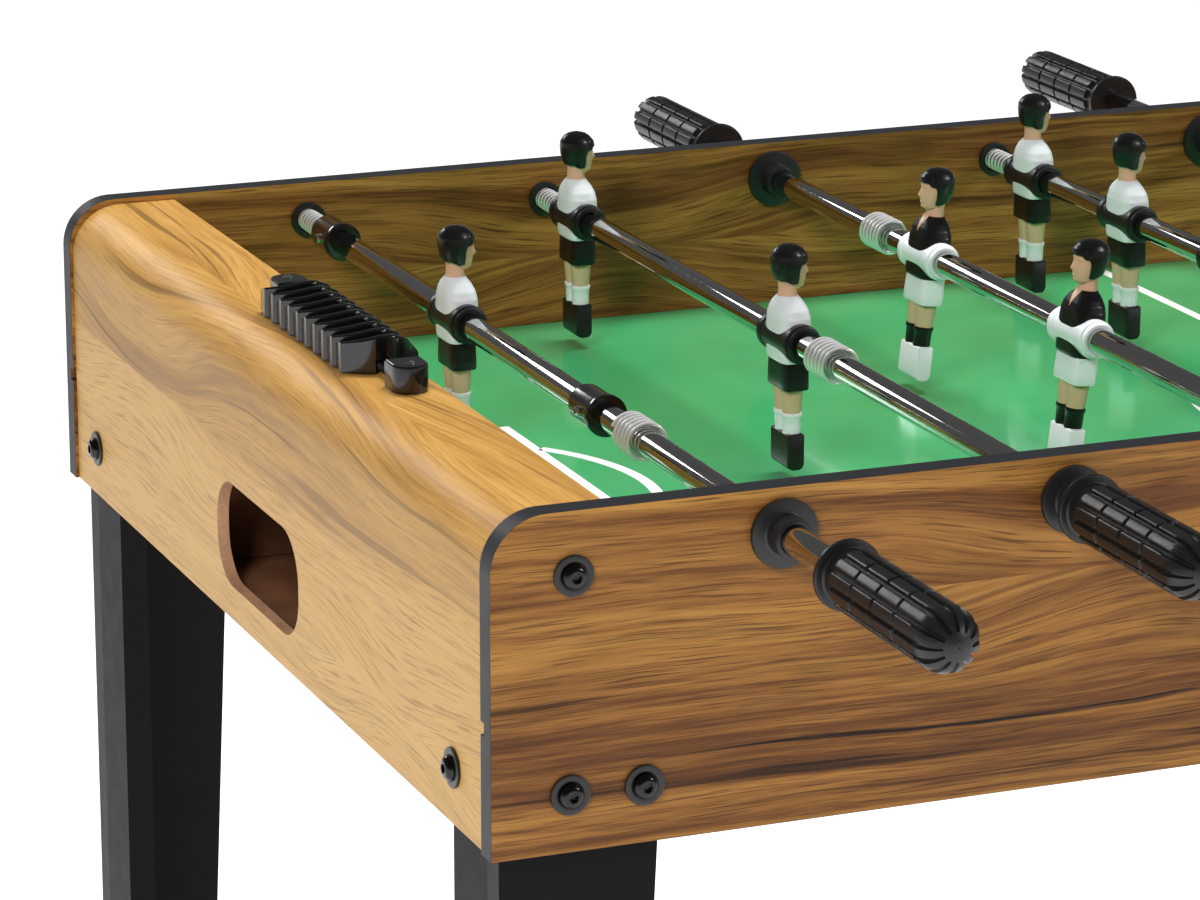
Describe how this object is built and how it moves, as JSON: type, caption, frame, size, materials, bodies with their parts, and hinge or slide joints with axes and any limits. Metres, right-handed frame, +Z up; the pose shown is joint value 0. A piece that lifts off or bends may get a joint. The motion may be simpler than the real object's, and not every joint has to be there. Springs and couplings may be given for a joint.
{
  "type": "foosball table",
  "caption": "Free-standing table football game: wood-grain cabinet on L-section legs, telescopic player rods that spin and slide, score counters and ball returns.",
  "frame": {"origin": "on the floor under the middle of the table", "axes": "+X along the table's length, +Y across it, +Z up"},
  "size_m": [1.2222, 1.0552, 0.826],
  "materials": {
    "walnut_print": "printed wood-grain film, satin",
    "oak_print": "printed light oak film, satin",
    "oak_print_inner": "printed oak film, satin",
    "green_pitch": "glossy green film with white lines",
    "bare_board": "bare fibreboard",
    "black_board": "black film on board",
    "black_plastic": "satin black plastic",
    "grip_plastic": "satin black plastic",
    "gloss_black": "glossy black plastic",
    "black_steel": "black plated steel",
    "bright_steel": "bright plated steel",
    "chrome": "chrome plate",
    "white_team": "painted plastic, white shirt and black shorts",
    "black_team": "painted plastic, black shirt and white shorts"
  },
  "bodies": {
    "cabinet": {"front_panel": "walnut_print", "rear_panel": "walnut_print", "left_end_board": "oak_print", "right_end_board": "oak_print", "playfield": "green_pitch", "goal_walls": "oak_print_inner", "ball_trays": "bare_board", "leg_front_left": "black_board", "leg_front_right": "black_board", "leg_rear_left": "black_board", "leg_rear_right": "black_board", "handle_bearings": "black_plastic", "end_bearings": "black_plastic", "cabinet_bolts": "black_steel", "bolt_washers": "black_steel", "score_rails": "gloss_black"},
    "score_left": {"score_markers_left": "gloss_black"},
    "score_right": {"score_markers_right": "gloss_black"},
    "guide_1": {"guide_rod_1": "bright_steel"},
    "rod_1": {"rod_tube_1": "chrome", "men_1": "white_team", "handle_1": "grip_plastic", "bumper_spring_1": "bright_steel", "stop_collars_1": "black_plastic"},
    "guide_2": {"guide_rod_2": "bright_steel"},
    "rod_2": {"rod_tube_2": "chrome", "men_2": "white_team", "handle_2": "grip_plastic", "bumper_spring_2": "bright_steel"},
    "guide_3": {"guide_rod_3": "bright_steel"},
    "rod_3": {"rod_tube_3": "chrome", "men_3": "black_team", "handle_3": "grip_plastic", "bumper_spring_3": "bright_steel"},
    "guide_4": {"guide_rod_4": "bright_steel"},
    "rod_4": {"rod_tube_4": "chrome", "men_4": "white_team", "handle_4": "grip_plastic", "bumper_spring_4": "bright_steel"},
    "guide_5": {"guide_rod_5": "bright_steel"},
    "rod_5": {"rod_tube_5": "chrome", "men_5": "black_team", "handle_5": "grip_plastic", "bumper_spring_5": "bright_steel"},
    "guide_6": {"guide_rod_6": "bright_steel"},
    "rod_6": {"rod_tube_6": "chrome", "men_6": "white_team", "handle_6": "grip_plastic", "bumper_spring_6": "bright_steel"},
    "guide_7": {"guide_rod_7": "bright_steel"},
    "rod_7": {"rod_tube_7": "chrome", "men_7": "black_team", "handle_7": "grip_plastic", "bumper_spring_7": "bright_steel"},
    "guide_8": {"guide_rod_8": "bright_steel"},
    "rod_8": {"rod_tube_8": "chrome", "men_8": "black_team", "handle_8": "grip_plastic", "bumper_spring_8": "bright_steel", "stop_collars_8": "black_plastic"}
  },
  "joints": [
    {"name": "rod_1_spin", "type": "hinge", "parent": "cabinet", "child": "guide_1", "pos_m": [-0.476, 0, 0.78], "axis": [0, 1, 0], "continuous": true},
    {"name": "rod_1_slide", "type": "slide", "parent": "guide_1", "child": "rod_1", "axis": [0, 1, 0], "range_m": [-0.154, 0], "deforming": ["bumper_spring_1"]},
    {"name": "rod_2_spin", "type": "hinge", "parent": "cabinet", "child": "guide_2", "pos_m": [-0.34, 0, 0.78], "axis": [0, 1, 0], "continuous": true},
    {"name": "rod_2_slide", "type": "slide", "parent": "guide_2", "child": "rod_2", "axis": [0, 1, 0], "range_m": [-0.24, 0], "deforming": ["bumper_spring_2"]},
    {"name": "rod_3_spin", "type": "hinge", "parent": "cabinet", "child": "guide_3", "pos_m": [-0.204, 0, 0.78], "axis": [0, -1, 0], "continuous": true},
    {"name": "rod_3_slide", "type": "slide", "parent": "guide_3", "child": "rod_3", "axis": [0, -1, 0], "range_m": [-0.15111, 0.02389], "deforming": ["bumper_spring_3"]},
    {"name": "rod_4_spin", "type": "hinge", "parent": "cabinet", "child": "guide_4", "pos_m": [-0.068, 0, 0.78], "axis": [0, 1, 0], "continuous": true},
    {"name": "rod_4_slide", "type": "slide", "parent": "guide_4", "child": "rod_4", "axis": [0, 1, 0], "range_m": [-0.06993, 0.00107], "deforming": ["bumper_spring_4"]},
    {"name": "rod_5_spin", "type": "hinge", "parent": "cabinet", "child": "guide_5", "pos_m": [0.068, 0, 0.78], "axis": [0, -1, 0], "continuous": true},
    {"name": "rod_5_slide", "type": "slide", "parent": "guide_5", "child": "rod_5", "axis": [0, -1, 0], "range_m": [-0.06993, 0.00107], "deforming": ["bumper_spring_5"]},
    {"name": "rod_6_spin", "type": "hinge", "parent": "cabinet", "child": "guide_6", "pos_m": [0.204, 0, 0.78], "axis": [0, 1, 0], "continuous": true},
    {"name": "rod_6_slide", "type": "slide", "parent": "guide_6", "child": "rod_6", "axis": [0, 1, 0], "range_m": [-0.15111, 0.02389], "deforming": ["bumper_spring_6"]},
    {"name": "rod_7_spin", "type": "hinge", "parent": "cabinet", "child": "guide_7", "pos_m": [0.34, 0, 0.78], "axis": [0, -1, 0], "continuous": true},
    {"name": "rod_7_slide", "type": "slide", "parent": "guide_7", "child": "rod_7", "axis": [0, -1, 0], "range_m": [-0.24, 0], "deforming": ["bumper_spring_7"]},
    {"name": "rod_8_spin", "type": "hinge", "parent": "cabinet", "child": "guide_8", "pos_m": [0.476, 0, 0.78], "axis": [0, -1, 0], "continuous": true},
    {"name": "rod_8_slide", "type": "slide", "parent": "guide_8", "child": "rod_8", "axis": [0, -1, 0], "range_m": [-0.154, 0], "deforming": ["bumper_spring_8"]},
    {"name": "score_left_slide", "type": "slide", "parent": "cabinet", "child": "score_left", "axis": [0, -1, 0], "range_m": [0, 0.021]},
    {"name": "score_right_slide", "type": "slide", "parent": "cabinet", "child": "score_right", "axis": [0, 1, 0], "range_m": [0, 0.021]}
  ]
}
